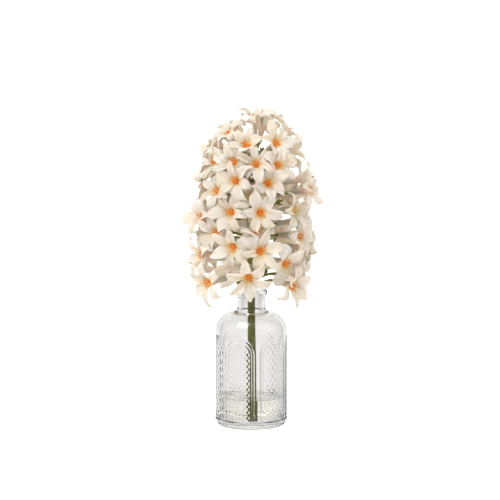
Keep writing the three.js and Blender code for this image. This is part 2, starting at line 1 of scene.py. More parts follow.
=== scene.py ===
"""A cut hyacinth in a pressed-glass bottle vase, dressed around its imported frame."""

import math

import bmesh
import bpy
from bpy.props import FloatProperty, FloatVectorProperty, PointerProperty
from mathutils import Matrix, Quaternion, Vector, kdtree


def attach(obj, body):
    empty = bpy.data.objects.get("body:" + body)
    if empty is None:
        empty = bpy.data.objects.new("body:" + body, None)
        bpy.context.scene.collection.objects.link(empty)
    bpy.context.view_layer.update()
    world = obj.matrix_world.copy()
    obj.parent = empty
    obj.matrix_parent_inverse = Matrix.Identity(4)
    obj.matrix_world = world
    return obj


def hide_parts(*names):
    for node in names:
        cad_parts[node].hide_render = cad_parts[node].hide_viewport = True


bl_info = {
    "name": "Hyacinth in a Bottle Vase",
    "version": (1, 0, 0),
    "blender": (4, 5, 0),
    "location": "3D View > Sidebar > Hyacinth",
    "description": "Builds a cut hyacinth, its pressed-glass vase, the water and a studio to see them in",
    "category": "Add Mesh",
}

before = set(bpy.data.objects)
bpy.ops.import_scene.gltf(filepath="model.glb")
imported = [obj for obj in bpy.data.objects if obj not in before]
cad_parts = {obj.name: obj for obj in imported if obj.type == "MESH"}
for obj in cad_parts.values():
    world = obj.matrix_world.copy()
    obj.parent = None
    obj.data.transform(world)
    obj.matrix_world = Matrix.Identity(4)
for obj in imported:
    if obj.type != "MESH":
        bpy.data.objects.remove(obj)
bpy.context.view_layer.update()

MM = 0.001  # pieces are drawn in millimetres and brought to metres when they are finished
UP = Vector((0, 0, 1))

# ---- Sizes shared by several pieces, in millimetres

GAP = 0.3
BODY_RADIUS = 35.5
WALL = 3.0
FLOOR = 5.5
SHOULDER_RADIUS = 20.0
SHOULDER_FROM = 95.3
NECK_RADIUS = 14.0
NECK_BORE = 11.0
VASE_HEIGHT = 137.0

STEM_LINE = [Vector(p) for p in (
    (1.2, -11, FLOOR + GAP), (0.5, -1.5, 70), (0, 6.2, 131), (1.5, 9, 190), (4.5, 10.5, 283),
)]
STEM_RADII = (4.1, 4.0, 3.8, 3.3, 1.8)
STEM_TIP = STEM_LINE[-1].z

# The head, its florets and the tufts of bracts between them
HEAD_LOW, HEAD_ROUND, HEAD_HIGH, HEAD_RADIUS = 144, 240, 306, 46
NODS = (-12, 6, 72)
FLORET_SIZES = (1.0, 0.84)
FRONT_FLORETS = (  # turn, height of the throat, how far it looks up, how much further out it stands
    (58, 143, -8, 0), (-60, 146, -6, 2), (-4, 154, -26, 0), (47, 165, -8, -2),
    (-76, 172, 4, 4), (9, 179, 6, 1), (-25, 183, -8, 0), (71, 191, 0, 0),
    (-52, 196, 5, -2), (5, 198, 34, -6), (-75, 209, 14, 5), (8, 217, 0, 1),
    (-29, 217, 0, -1), (56, 217, 4, 0), (74, 237, 10, 7), (-2, 231, 28, -4),
    (-52, 236, 26, -1), (-24, 248, 10, 0), (17, 246, 8, -1), (-29, 266, 12, 1),
    (-66, 265, 16, 0), (1, 264, 24, -1), (29, 263, 4, 1), (-15, 282, 36, 0),
    (34, 284, 22, 0), (40, 306, 80, 0),
)
FACING = 0.8
BACK_COUNT, BACK_FROM, BACK_TO, BACK_TOP = 25, 84, 277, 282
GOLDEN = 0.618034
CROWN_COUNT, CROWN_FROM, CROWN_STEP, CROWN_HEIGHT, CROWN_NOD = 4, 100, 66, 294, 50
PEDICEL_DROP, PEDICEL_BELOW_TIP = 6, 9

TUFTS = (  # turn and height of the green bracts that show between the florets
    (-15, 148), (42, 153), (17, 158), (-10, 170), (31, 187), (-10, 190),
    (-9, 205), (33, 226), (-5, 247), (-12, 254), (9, 277),
)
TUFT_REACH, TUFT_RISE = 42.5, 16  # from the stem to a bract's foot, and how far it climbs on the way

RIM_RADIUS, OVARY_DEPTH = 4.2, 22
TEPAL_LENGTH, TEPAL_HALF, TEPAL_RISE, TEPAL_FALL = 26, 5, 68, -52
SHARES = (1, 0.88, 0.76, 0.62, 0.48, 0.36)
LIFTS = (0, 22, -22, 44, -44, 66)
SWINGS = (0, 14, -14, 27, -27)
TIP_NEAR = 0.05  # a tepal's tip lies this close to a corner of its node

SEED = 11
TEPAL_DRAWS, BLADE_DRAWS, BRACT_DRAWS, STAMEN_DRAWS, GLOW_DRAWS = 1000, 3000, 5000, 7000, 9000
MERGE = 0.001  # vertices this close are one
SUNK = 0.8  # how far a pedicel's or a bract's root goes into the stem


# ---- Helpers


def lerp(a, b, t):
    return a + (b - a) * t


def clamp(x, low=0.0, high=1.0):
    return max(low, min(high, x))


def smooth(x):
    x = clamp(x)
    return x * x * (3 - 2 * x)


def drawn(index):
    """The same share from 0 to 1 each time for the same index."""
    x = math.sin((index + SEED) * 12.9898) * 43758.5453
    return x - math.floor(x)


def between(low, high, index):
    return lerp(low, high, drawn(index))


def outward(turn):
    """The level direction at a turn, in degrees from the front towards +X."""
    return Vector((math.sin(math.radians(turn)), -math.cos(math.radians(turn)), 0))


def polar(radius, angle, z):
    a = math.radians(angle)
    return Vector((radius * math.cos(a), radius * math.sin(a), z))


def through(points, x):
    """A smooth curve of value against place through (place, value) points, level at each of them."""
    for (x0, y0), (x1, y1) in zip(points, points[1:]):
        if x <= x1:
            return lerp(y0, y1, smooth((x - x0) / (x1 - x0)))
    return points[-1][1]


def bump(distance, half):
    """A rounded ridge: 1 on its crest, 0 past half its width."""
    return 0.5 + 0.5 * math.cos(math.pi * min(abs(distance) / half, 1.0))


def finish(bm, name, materials, nodes, sharp=50):
    """Turns a bmesh in millimetres into a piece that stands for its CAD nodes."""
    bmesh.ops.scale(bm, vec=(MM, MM, MM), verts=bm.verts)
    mesh = bpy.data.meshes.new(name)
    bm.to_mesh(mesh)
    bm.free()
    mesh.shade_smooth()
    mesh.set_sharp_from_angle(angle=math.radians(sharp))
    for material in materials:
        mesh.materials.append(material)
    piece = bpy.data.objects.new(name, mesh)
    bpy.context.scene.collection.objects.link(piece)
    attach(piece, "root")
    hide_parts(*nodes)
    return piece


def edges_of(verts):
    return list(dict.fromkeys(edge for vert in verts for edge in vert.link_edges))


def of_kind(geometry, kind):
    return [g for g in geometry if isinstance(g, kind)]


def paint(verts, material):
    """Gives a material to every face that touches some vertices."""
    for face in {face for vert in verts for face in vert.link_faces}:
        face.material_index = material


def extruded(bm, edges):
    """Extrudes a ring of edges, and gives back the new vertices, the new ring and the faces between."""
    made = bmesh.ops.extrude_edge_only(bm, edges=edges)["geom"]
    verts = of_kind(made, bmesh.types.BMVert)
    ring = [edge for edge in of_kind(made, bmesh.types.BMEdge) if all(v in verts for v in edge.verts)]
    return verts, ring, of_kind(made, bmesh.types.BMFace)


def sized(x, y, z):
    return Matrix.Diagonal((x, y, z, 1))


def station(centre, way, radius):
    """The matrix that brings a unit circle to a centre, square to a way."""
    turn = UP.rotation_difference(way.normalized())
    return Matrix.Translation(centre) @ turn.to_matrix().to_4x4() @ sized(radius, radius, radius)


def sweep(bm, stations, sides, material):
    """A closed tube through a row of station matrices, drawn by extruding a circle."""
    verts = bmesh.ops.create_circle(bm, cap_ends=False, segments=sides, radius=1.0)["verts"]
    bmesh.ops.transform(bm, matrix=stations[0], verts=verts)
    edges = edges_of(verts)
    faces = list(bmesh.ops.edgeloop_fill(bm, edges=edges)["faces"])
    for before, after in zip(stations, stations[1:]):
        verts, edges, made = extruded(bm, edges)
        faces += made
        bmesh.ops.transform(bm, matrix=after @ before.inverted(), verts=verts)
    faces += bmesh.ops.edgeloop_fill(bm, edges=edges)["faces"]
    for face in faces:
        face.material_index = material
    bmesh.ops.recalc_face_normals(bm, faces=faces)
    return faces


# ---- The stem's line, and where the florets stand


def spline_share(values, spans, weight):
    """One coordinate between the middle two of four points, on a centripetal curve."""
    x0, x1, x2, x3 = values
    d0, d1, d2 = spans
    t1 = ((x1 - x0) / d0 - (x2 - x0) / (d0 + d1) + (x2 - x1) / d1) * d1
    t2 = ((x2 - x1) / d1 - (x3 - x1) / (d1 + d2) + (x3 - x2) / d2) * d1
    square, cube = weight * weight, weight ** 3
    return x1 + t1 * weight + (-3 * x1 + 3 * x2 - 2 * t1 - t2) * square + (2 * x1 - 2 * x2 + t1 + t2) * cube


def stem_point(share):
    """A point of the stem's line, at a share of it from the cut end."""
    place = (len(STEM_LINE) - 1) * share
    i = min(int(place), len(STEM_LINE) - 2)
    before = STEM_LINE[i - 1] if i else STEM_LINE[0] * 2 - STEM_LINE[1]
    after = STEM_LINE[i + 2] if i + 2 < len(STEM_LINE) else STEM_LINE[-1] * 2 - STEM_LINE[-2]
    four = (before, STEM_LINE[i], STEM_LINE[i + 1], after)
    spans = [math.sqrt((b - a).length) for a, b in zip(four, four[1:])]
    return Vector([spline_share([p[axis] for p in four], spans, place - i) for axis in range(3)])


HALVINGS = 30


def share_at(height):
    """The share of the stem's line at which it reaches a height."""
    low, high = 0.0, 1.0
    for _ in range(HALVINGS):
        middle = (low + high) / 2
        if stem_point(middle).z < height:
            low = middle
        else:
            high = middle
    return low


def stem_at(height):
    return stem_point(share_at(min(height, STEM_TIP)))


def stem_radius(share):
    place = share * (len(STEM_RADII) - 1)
    i = min(int(place), len(STEM_RADII) - 2)
    return lerp(STEM_RADII[i], STEM_RADII[i + 1], place - i)


def domed(height):
    """How far up the head's rounded top a height is, from 0 to 1."""
    return clamp((height - HEAD_ROUND) / (HEAD_HIGH - HEAD_ROUND))


def head_radius(height):
    return HEAD_RADIUS * math.sqrt(1 - domed(height) ** 2)


def floret_rows():
    """Every floret's turn, facing, height, nod and outward step, before they are sorted by height."""
    rows = [(turn, turn * FACING, height, nod, out) for turn, height, nod, out in FRONT_FLORETS]
    for i in range(BACK_COUNT):
        height = lerp(HEAD_LOW, BACK_TOP, (i + 0.5) / BACK_COUNT) + between(-2, 2, i)
        turn = lerp(BACK_FROM, BACK_TO, (i * GOLDEN) % 1) + between(-4, 4, i + 100)
        straight = clamp((height - HEAD_LOW) / (HEAD_ROUND - HEAD_LOW))
        rising = lerp(NODS[0], NODS[1], straight) + (NODS[2] - NODS[1]) * domed(height) ** 2
        rows.append((turn, turn, height, rising + between(-6, 6, i + 300), between(-3, 5, i + 200)))
    for i in range(CROWN_COUNT):
        turn = CROWN_FROM + CROWN_STEP * i
        rows.append((turn, turn, CROWN_HEIGHT + between(-3, 3, i + 50), CROWN_NOD, 0))
    return sorted(rows, key=lambda row: row[2])


def floret_places():
    """A list of (index, frame, axis, size): where each floret's throat is and how it is turned."""
    places = []
    for index, (turn, facing, height, nod, out) in enumerate(floret_rows()):
        throat = stem_at(height) + outward(turn) * (head_radius(height) + out)
        throat.z = height
        axis = outward(facing) * math.cos(math.radians(nod))
        axis.z = math.sin(math.radians(nod))
        size = lerp(*FLORET_SIZES, (height - HEAD_LOW) / (HEAD_HIGH - HEAD_LOW))
        roll = Quaternion(UP, math.radians(60 * drawn(index + 400)))
        turned = UP.rotation_difference(axis) @ roll
        places.append((index, Matrix.Translation(throat) @ turned.to_matrix().to_4x4(), axis, size))
    return places


def foot_of(place):
    _, matrix, axis, size = place
    return matrix.translation - axis * (OVARY_DEPTH * size + GAP)


# ---- Materials


class Nodes:
    """Adds nodes to a tree and links them."""

    def __init__(self, tree):
        self.tree = tree

    def add(self, kind, inputs=(), **settings):
        node = self.tree.nodes.new("ShaderNode" + kind)
        for key, value in settings.items():
            setattr(node, key, value)
        for socket, value in dict(inputs).items():
            if isinstance(value, bpy.types.NodeSocket):
                self.tree.links.new(value, node.inputs[socket])
            else:
                node.inputs[socket].default_value = value
        return node

    def math(self, operation, a, b=0.5, c=0.5):
        return self.add("Math", {0: a, 1: b, 2: c}, operation=operation).outputs[0]

    def span(self, value, low, high, to_low=0.0, to_high=1.0, kind="SMOOTHSTEP"):
        inputs = {"Value": value, "From Min": low, "From Max": high, "To Min": to_low, "To Max": to_high}
        return self.add("MapRange", inputs, interpolation_type=kind).outputs["Result"]

    def mix(self, factor, a, b):
        node = self.add("Mix", data_type="RGBA")
        for socket, value in ((node.inputs[0], factor), (node.inputs[6], a), (node.inputs[7], b)):
            if isinstance(value, bpy.types.NodeSocket):
                self.tree.links.new(value, socket)
            else:
                socket.default_value = value
        return node.outputs[2]

    def noise(self, vector, scale, detail=2.0, roughness=0.5):
        inputs = {"Vector": vector, "Scale": scale, "Detail": detail, "Roughness": roughness}
        return self.add("TexNoise", inputs).outputs["Fac"]

    def stretched(self, vector, x, y, z):
        return self.add("Mapping", {"Vector": vector, "Scale": (x, y, z)}).outputs["Vector"]

    def place(self):
        return self.add("TexCoord").outputs["Object"]


class Finish(Nodes):
    """One material's nodes, which end in its shader."""

    def __init__(self, name, **values):
        self.material = bpy.data.materials.new(name)
        self.material.use_nodes = True
        super().__init__(self.material.node_tree)
        self.shader = self.tree.nodes["Principled BSDF"]
        for short, value in values.items():
            self.shader.inputs[SOCKETS[short]].default_value = value

    def set(self, socket, value):
        self.tree.links.new(value, self.shader.inputs[socket])

    def bump(self, height, strength, distance):
        inputs = {"Height": height, "Strength": strength, "Distance": distance}
        self.set("Normal", self.add("Bump", inputs).outputs["Normal"])


SOCKETS = {
    "roughness": "Roughness",
    "emission": "Emission Color",
    "ior": "IOR",
    "transmission": "Transmission Weight",
    "sheen": "Sheen Weight",
    "sheen_roughness": "Sheen Roughness",
    "subsurface": "Subsurface Weight",
    "subsurface_scale": "Subsurface Scale",
    "subsurface_radius": "Subsurface Radius",
    "specular": "Specular IOR Level",
}


def colour(value, factor=1.0):
    return (value[0] * factor, value[1] * factor, value[2] * factor, 1.0)


def petal_material(name, inside, look):
    """Satin petal: long veins that run with the petal, a warm throat inside with a painted glow deep in it,
    and a green foot outside.
    """
    n = Finish(name, roughness=0.5, sheen=0.15, sheen_roughness=0.4, specular=0.35,
               subsurface=0.8, subsurface_scale=0.0025, subsurface_radius=(1.0, 0.88, 0.74))
    uv = n.add("UVMap", uv_map="UVMap").outputs["UV"]
    xyz = n.add("SeparateXYZ", {"Vector": uv}).outputs
    across, along = xyz["X"], xyz["Y"]
    tone = n.add("Attribute", attribute_name="tone").outputs["Fac"]
    wander = n.noise(n.stretched(uv, 9.0, 1.2, 1.0), 2.0, 3.0, 0.6)
    phase = n.math("MULTIPLY_ADD", across, 38.0, n.math("MULTIPLY", wander, 9.0))
    veins = n.math("MULTIPLY_ADD", n.math("SINE", phase), 0.5, 0.5)
    fine = n.noise(n.stretched(uv, 60.0, 5.0, 1.0), 1.0, 2.0)
    mottle = n.noise(n.place(), 260.0, 3.0)

    light = n.mix(tone, colour(look.petal_light), colour(look.petal_cream))
    shaded = n.mix(n.math("MULTIPLY", veins, 0.52), light, colour(look.petal_vein))
    tint = n.mix(n.span(mottle, 0.35, 0.75, 0.0, 0.12), shaded, colour(look.petal_vein))
    if inside:
        glow = n.add("Attribute", attribute_name="glow").outputs["Fac"]
        near = n.span(n.math("MULTIPLY_ADD", wander, 0.08, along), 0.33, 0.58, 1.0, 0.0)
        warm = n.mix(glow, colour(look.throat_pale), colour(look.throat_halo))
        blush = n.mix(n.math("MULTIPLY", near, 0.85), tint, warm)
        deep = n.math("MULTIPLY", n.span(along, 0.24, 0.36, 1.0, 0.0), n.span(along, 0.13, 0.2))
        base = n.mix(n.math("MULTIPLY", deep, glow), blush, colour(look.throat))
        # painted light: deep in the tube the throat glows, for the light that comes in through the thin
        # petals
        n.set("Emission Color", base)
        n.set("Emission Strength", n.math("MULTIPLY", deep, look.throat_glow))
    else:
        foot = n.span(along, 0.05, 0.42, 1.0, 0.0)
        base = n.mix(n.math("MULTIPLY", foot, 0.5), tint, colour(look.petal_foot))
    n.set("Base Color", base)
    n.set("Roughness", n.span(fine, 0.2, 0.8, 0.42, 0.62, "LINEAR"))
    n.bump(n.math("MULTIPLY_ADD", fine, 0.5, veins), 0.6, 0.0005)
    return n.material


def stalk_material(look):
    """Waxy green stalk, streaked lengthwise."""
    n = Finish("stalk_green", roughness=0.5, specular=0.25)
    place = n.place()
    streak = n.noise(n.stretched(place, 900.0, 900.0, 25.0), 1.0, 3.0)
    patch = n.noise(place, 45.0, 2.0)
    base = n.mix(n.span(streak, 0.3, 0.7), colour(look.green), colour(look.green_light))
    base = n.mix(n.span(patch, 0.45, 0.75, 0.0, 0.6), base, colour(look.green, 0.6))
    n.set("Base Color", base)
    n.bump(streak, 0.3, 0.0003)
    return n.material


def bract_material(look):
    """Olive bract with darker patches."""
    n = Finish("bract_olive", roughness=0.5, specular=0.35)
    patch = n.noise(n.place(), 400.0, 3.0)
    base = n.mix(n.span(patch, 0.3, 0.7), colour(look.bract), colour(look.bract, 0.6))
    n.set("Base Color", base)
    n.bump(patch, 0.3, 0.0003)
    return n.material


def stamen_material(name, low, high, scale):
    """Filament or anther, grained finely."""
    n = Finish(name, roughness=0.55, specular=0.3)
    grain = n.noise(n.place(), scale, 3.0)
    n.set("Base Color", n.mix(n.span(grain, 0.3, 0.7), colour(low), colour(high)))
    n.bump(grain, 0.5, 0.0002)
    return n.material


def glass_material(look):
    """Clear pressed glass, faintly uneven."""
    n = Finish("pressed_glass", roughness=0.02, ior=1.46, transmission=1.0)
    swirl = n.noise(n.stretched(n.place(), 1.0, 1.0, 0.5), 60.0, 2.0)
    n.set("Base Color", n.mix(swirl, colour(look.glass), colour(look.glass, 0.985)))
    n.bump(swirl, 0.15, 0.0004)
    return n.material


def water_material(look):
    """Still water with the faintest green in it."""
    n = Finish("still_water", roughness=0.0, ior=1.333, transmission=1.0)
    swirl = n.noise(n.place(), 35.0, 1.0)
    n.set("Base Color", n.mix(swirl, colour(look.water), colour(look.water, 0.97)))
    n.bump(swirl, 0.05, 0.0003)
    return n.material


BANDS = 10.0  # how many darker bands there are round the room and the paper


def floor_material(look):
    """Matt paper with the lightest tooth and a painted pool of light round the vase's foot. The glass sees it
    in faint bands of painted shade, which draw its relief.
    """
    n = Finish("studio_paper", roughness=0.9, specular=0.1, emission=(1.0, 1.0, 1.0, 1.0))
    rays = n.add("LightPath").outputs
    seen = rays["Is Camera Ray"]
    plain = n.math("MAXIMUM", seen, rays["Is Diffuse Ray"])
    place = n.place()
    away = n.add("VectorMath", {0: place}, operation="LENGTH").outputs["Value"]
    # painted light: a pool of glow on the paper round the vase's foot, for the light that the glass would
    # gather there
    painted_foot_glow = n.span(away, 0.02, 0.14, look.foot_glow, 0.0)
    n.set("Emission Strength", n.math("MULTIPLY_ADD", seen, look.floor_glow, painted_foot_glow))
    tooth = n.noise(place, 900.0, 2.0)
    paper = n.mix(tooth, colour(look.floor), colour(look.floor, 0.99))
    # painted shade: darker bands round the room and darker towards the camera, in the paper's colour for the
    # rays that the glass sends, not for the camera or for diffuse light
    xyz = n.add("SeparateXYZ", {"Vector": place}).outputs
    turn = n.math("MULTIPLY", n.math("ARCTAN2", xyz["X"], xyz["Y"]), BANDS)
    bands = n.math("MULTIPLY", n.math("MULTIPLY_ADD", n.math("COSINE", turn), -0.5, 0.5), look.flag)
    front = n.span(xyz["Y"], -0.12, 0.0, look.front_flag, 0.0)
    shade = n.math("MULTIPLY", n.math("MAXIMUM", bands, front), n.math("SUBTRACT", 1.0, plain))
    n.set("Base Color", n.mix(shade, paper, colour(look.floor, 0.05)))
    n.bump(tooth, 0.05, 0.0002)
    return n.material


# ---- The vase

PANELS = 6
FIRST_PANEL = -20
PANEL_FOOT, PANEL_TOP, PANEL_HALF = 9.6, 91.5, 16.7
RELIEF_TOP = PANEL_TOP + 1
RIB_HALF = 1.1
RIB_INSETS = (0.9, 4.5)
FILL_INSET = 5.8
BEAD_PITCH, BEAD_RADIUS, BEAD_HEIGHT = 4.6, 1.55, 1.25
SEAM_HALF, SEAM_HEIGHT = 0.6, 0.35
LATTICE_PITCH, LATTICE_HALF, CROSSING_HALF, CROSSING_HEIGHT = 6.4, 1.1, 1.0, 0.7
CELL_TALLER, LINE_SPAN, CELL_SPAN = 1.25, 0.72, 0.62  # of a pitch: a cell's height, and distances in it
SHOULDER_ARC = 84  # degrees that the shoulder turns before it runs into the neck
BORE_FOOT = 5  # radius of the bore's rounded foot
VASE_SIDES, VASE_SECTORS = 408, 12
RELIEF_ROWS = 156


def arc_points(centre, radius, first, last, steps):
    r, z = centre
    angles = [math.radians(lerp(first, last, i / steps)) for i in range(steps + 1)]
    return [(r + radius * math.cos(a), z + radius * math.sin(a)) for a in angles]


def vase_profile():
    """Radius and height from the middle of the foot, up the outside, over the lip and down the bore."""
    shoulder = (BODY_RADIUS - SHOULDER_RADIUS, SHOULDER_FROM)
    shoulder_top = SHOULDER_FROM + SHOULDER_RADIUS
    bore = BODY_RADIUS - WALL
    outside = [
        (0, 1.0), (12, 0.95), (22, 0.7), (26, 0.3), (28, 0.05), (29.5, 0), (31.2, 0), (32.6, 0.4),
        (33.8, 1.3), (34.6, 2.4), (34.9, 3.2), (34.7, 3.8), (34.95, 4.5), (35.7, 5.4), (36.4, 6.3),
        (36.6, 7.1), (36.4, 7.9), (35.9, 8.7), (35.55, 9.2),
    ]
    outside += [(BODY_RADIUS, lerp(PANEL_FOOT, RELIEF_TOP, i / RELIEF_ROWS)) for i in range(RELIEF_ROWS + 1)]
    outside += arc_points(shoulder, SHOULDER_RADIUS, 0, SHOULDER_ARC, 18)
    outside += [
        (16.4, shoulder_top + 0.2), (15.4, shoulder_top + 0.75), (14.6, shoulder_top + 1.7),
        (14.15, shoulder_top + 3.0), (NECK_RADIUS, shoulder_top + 4.6),
        (NECK_RADIUS, 124), (NECK_RADIUS, 128.5), (14.2, 129.6), (14.9, 130.4), (15.8, 131.2),
        (16.15, 132.2), (16.2, 133.6), (16.1, 135), (15.6, 136.1), (14.8, 136.8), (13.8, VASE_HEIGHT),
    ]
    inside = [
        (12.8, 136.8), (11.9, 136.2), (11.3, 135.3), (NECK_BORE, 134), (NECK_BORE, 125), (NECK_BORE, 117),
        (11.1, 115.8), (11.6, 114.6), (12.4, 113.6), (13.6, 112.85), (15.0, 112.45),
    ]
    inside += arc_points(shoulder, SHOULDER_RADIUS - WALL, SHOULDER_ARC, 0, 10)
    inside += [(bore, 80), (bore, 60), (bore, 40), (bore, 25)]
    inside += arc_points((bore - BORE_FOOT, FLOOR + BORE_FOOT), BORE_FOOT, 0, -84, 6)
    inside += [(22, FLOOR - 0.1), (12, FLOOR), (0, FLOOR)]
    return outside + inside


def panel_relief(aside, z, beaded, crest, fill):
    """How far the glass of one arched panel stands out, at a distance aside of its middle and a height."""
    spring = PANEL_TOP - PANEL_HALF
    over = z - spring
    reach = math.hypot(aside, over) if over > 0 else abs(aside)
    inset = PANEL_HALF - reach
    if inset < -0.2:
        return 0.0
    foot = smooth((z - PANEL_FOOT) / 1.2)
    ribs = max(bump(inset - rib, RIB_HALF) for rib in RIB_INSETS)
    if inset < FILL_INSET:
        return crest * ribs * foot
    edge = smooth((inset - FILL_INSET) / 0.8) * foot
    pitch = BEAD_PITCH if beaded else LATTICE_PITCH
    u, v = aside / pitch, (z - PANEL_FOOT) / (pitch * CELL_TALLER)
    p, q = (u + v) % 1.0 - 0.5, (u - v) % 1.0 - 0.5
    if not beaded:
        first, second = p * pitch * LINE_SPAN, q * pitch * LINE_SPAN
        return fill * max(bump(first, LATTICE_HALF), CROSSING_HEIGHT * bump(second, CROSSING_HALF)) * edge
    away = math.hypot((p + q) * pitch / 2, (p - q) * pitch * CELL_SPAN)
    bead = math.sqrt(max(1 - (away / BEAD_RADIUS) ** 2, 0.0))
    seams = SEAM_HEIGHT * max(bump((abs(x) - 0.5) * pitch * LINE_SPAN, SEAM_HALF) for x in (p, q))
    return fill * max(BEAD_HEIGHT * bead, seams) * edge


def vase_relief(position, crest, fill):
    """How far the glass stands out at a place on the body. Beads and lattice take turns round it."""
    turn = math.degrees(math.atan2(position.x, -position.y)) - FIRST_PANEL
    pitch = 360 / PANELS
    index = round(turn / pitch)
    aside = math.radians(turn - index * pitch) * BODY_RADIUS
    return panel_relief(aside, position.z, index % 2 == 0, crest, fill)


def draw_vase(look):
    """Spins the profile, a sector at a time, and pushes the panels' relief out of the body."""
    bm = bmesh.new()
    profile = vase_profile()
    chain = [bm.verts.new((0, -r, z)) for r, z in profile]
    edges = [bm.edges.new(pair) for pair in zip(chain, chain[1:])]
    bmesh.ops.spin(bm, geom=chain + edges, axis=UP, cent=(0, 0, 0), angle=math.tau / VASE_SECTORS,
                   steps=VASE_SIDES // VASE_SECTORS)
    sector = bm.verts[:] + bm.edges[:] + bm.faces[:]
    for i in range(1, VASE_SECTORS):
        made = bmesh.ops.duplicate(bm, geom=sector)["geom"]
        turn = Matrix.Rotation(math.tau * i / VASE_SECTORS, 3, "Z")
        bmesh.ops.rotate(bm, verts=of_kind(made, bmesh.types.BMVert), matrix=turn)
    bmesh.ops.remove_doubles(bm, verts=bm.verts, dist=MERGE)
    crest, fill = look.rib_height / MM, look.relief_height / MM
    for vert in bm.verts:
        if PANEL_FOOT < vert.co.z < RELIEF_TOP and abs(vert.co.xy.length - BODY_RADIUS) < 0.01:
            out = vase_relief(vert.co, crest, fill)
            vert.co.xy *= (BODY_RADIUS + out) / BODY_RADIUS
    bmesh.ops.recalc_face_normals(bm, faces=bm.faces)
    return bm


# ---- The water

WATER_LEVEL = 29.0
WATER_SIDES = 144
WATER_OVERLAP = 0.15  # the stem's skin stands this far into the water
WATER_CLEAR = 0.12  # the gap between the water and the glass
WATER_FOOT = 5  # radius of the water's rounded foot
WATER_FLAT = 3.2  # from the water's edge to where its surface is level


def move_ring(verts, middle, centre, r, z):
    """Brings a ring of vertices round an old middle to a radius and a height round a new centre."""
    for vert in verts:
        way = vert.co.xy - middle
        vert.co = (centre.x + way.x / way.length * r, centre.y + way.y / way.length * r, z)


def draw_water(look):
    """Water between the glass and the stem, drawn up a little at both."""
    level, rise = WATER_LEVEL, look.meniscus / MM
    radius = BODY_RADIUS - WALL - WATER_CLEAR
    low = FLOOR + WATER_CLEAR
    wall = arc_points((radius - WATER_FOOT, low + WATER_FOOT), WATER_FOOT, -90, 0, 8)
    wall += [
        (radius, 18), (radius, level - 0.4), (radius, level + rise), (radius - 0.35, level + 0.55 * rise),
        (radius - 0.9, level + 0.25 * rise), (radius - 1.9, level + 0.05 * rise),
        (radius - WATER_FLAT, level),
    ]
    stations = [(Vector((0, 0)), r, z) for r, z in wall]
    share = share_at(level)
    hole, thin = stem_point(share).xy, stem_radius(share) - WATER_OVERLAP
    for t in (0.15, 0.4, 0.7, 0.88):
        stations.append((hole * t, lerp(radius - WATER_FLAT, thin + 1.5, t), level))
    stations += [(hole, thin + off, level + up) for off, up in ((0.7, 0.15), (0.25, 0.5), (0, 0.9))]
    for z in (22.0, 15.0, 9.0, low):
        share = share_at(max(z, FLOOR + GAP))
        stations.append((stem_point(share).xy, stem_radius(share) - WATER_OVERLAP, z))

    bm = bmesh.new()
    verts = bmesh.ops.create_circle(bm, cap_ends=False, segments=WATER_SIDES, radius=1.0)["verts"]
    edges = first_edges = edges_of(verts)
    middle = Vector((0, 0))
    for number, (centre, r, z) in enumerate(stations):
        if number:
            verts, edges, _ = extruded(bm, edges)
        move_ring(verts, middle, centre, r, z)
        middle = centre
    bmesh.ops.bridge_loops(bm, edges=edges + first_edges)
    bmesh.ops.recalc_face_normals(bm, faces=bm.faces)
    return bm


# ---- The stem

STALK_SIDES, STALK_RINGS = 28, 110
STALK_END = ((0.7, 0.9), (1.3, 0.7), (1.7, 0.35))  # how far past its tip, and its radius there as a share
STALK_RIDGES = ((0.10, 5, 0.012), (0.05, 11, 0.03))  # depth, number round the stalk and lean of the ridges
PEDICEL_RADIUS, PEDICEL_SIDES = 1.35, 12
LEAF_THICKNESS, LEAVES, TUFT_SIDES = 0.35, 6, 10
STALK, BRACT = range(2)  # the stem's materials


def curve_between(points, steps):
    """Points and ways along a Bezier curve with four controls."""
    a, b, c, d = points
    out = []
    for i in range(steps + 1):
        t = i / steps
        s = 1 - t
        at = a * s ** 3 + b * 3 * s * s * t + c * 3 * s * t * t + d * t ** 3
        way = (b - a) * s * s + (c - b) * 2 * s * t + (d - c) * t * t
        out.append((at, way.normalized(), t))
    return out


def draw_stalk(bm):
    """The stalk, from its cut end to a rounded tip, with shallow ridges up it."""
    near = 0.002
    stations = []
    for i in range(STALK_RINGS + 1):
        share = share_at(lerp(STEM_LINE[0].z, STEM_TIP - 0.01, i / STALK_RINGS))
        ahead = stem_point(min(share + near, 1)) - stem_point(max(share - near, 0))
        stations.append(station(stem_point(share), ahead if i else UP, stem_radius(share)))
    tip = stem_point(1.0)
    ahead = (tip - stem_point(0.99)).normalized()
    for out, share in STALK_END:
        stations.append(station(tip + ahead * out, ahead, STEM_RADII[-1] * share))
    faces = sweep(bm, stations, STALK_SIDES, STALK)
    for vert in {vert for face in faces for vert in face.verts}:
        away = vert.co - stem_at(vert.co.z)
        away.z = 0
        if away.length > 0.5:
            turn, z = math.atan2(away.y, away.x), vert.co.z
            ridges = (depth * math.sin(count * turn + z * lean) for depth, count, lean in STALK_RIDGES)
            vert.co += away.normalized() * sum(ridges)


def draw_pedicel(bm, place):
    """The short stalk of a floret, out of the stem and up into the floret's foot."""
    _, _, axis, size = place
    foot = foot_of(place)
    share = share_at(min(foot.z - PEDICEL_DROP, STEM_TIP - PEDICEL_BELOW_TIP))
    core = stem_point(share)
    out = Vector((foot.x - core.x, foot.y - core.y, 0)).normalized()
    reach = (foot - core).length
    start = core + out * (stem_radius(share) - SUNK)
    controls = (start, start + (out + UP * 0.35) * reach * 0.3, foot - axis * reach * 0.3, foot + axis * 0.5)
    stations = []
    for at, way, t in curve_between(controls, 9):
        swell = 1 + 0.6 * (1 - t) ** 3 + 0.35 * smooth((t - 0.75) / 0.25)
        stations.append(station(at, way, PEDICEL_RADIUS * size * swell * lerp(0.85, 0.95, t)))
    sweep(bm, stations, PEDICEL_SIDES, STALK)


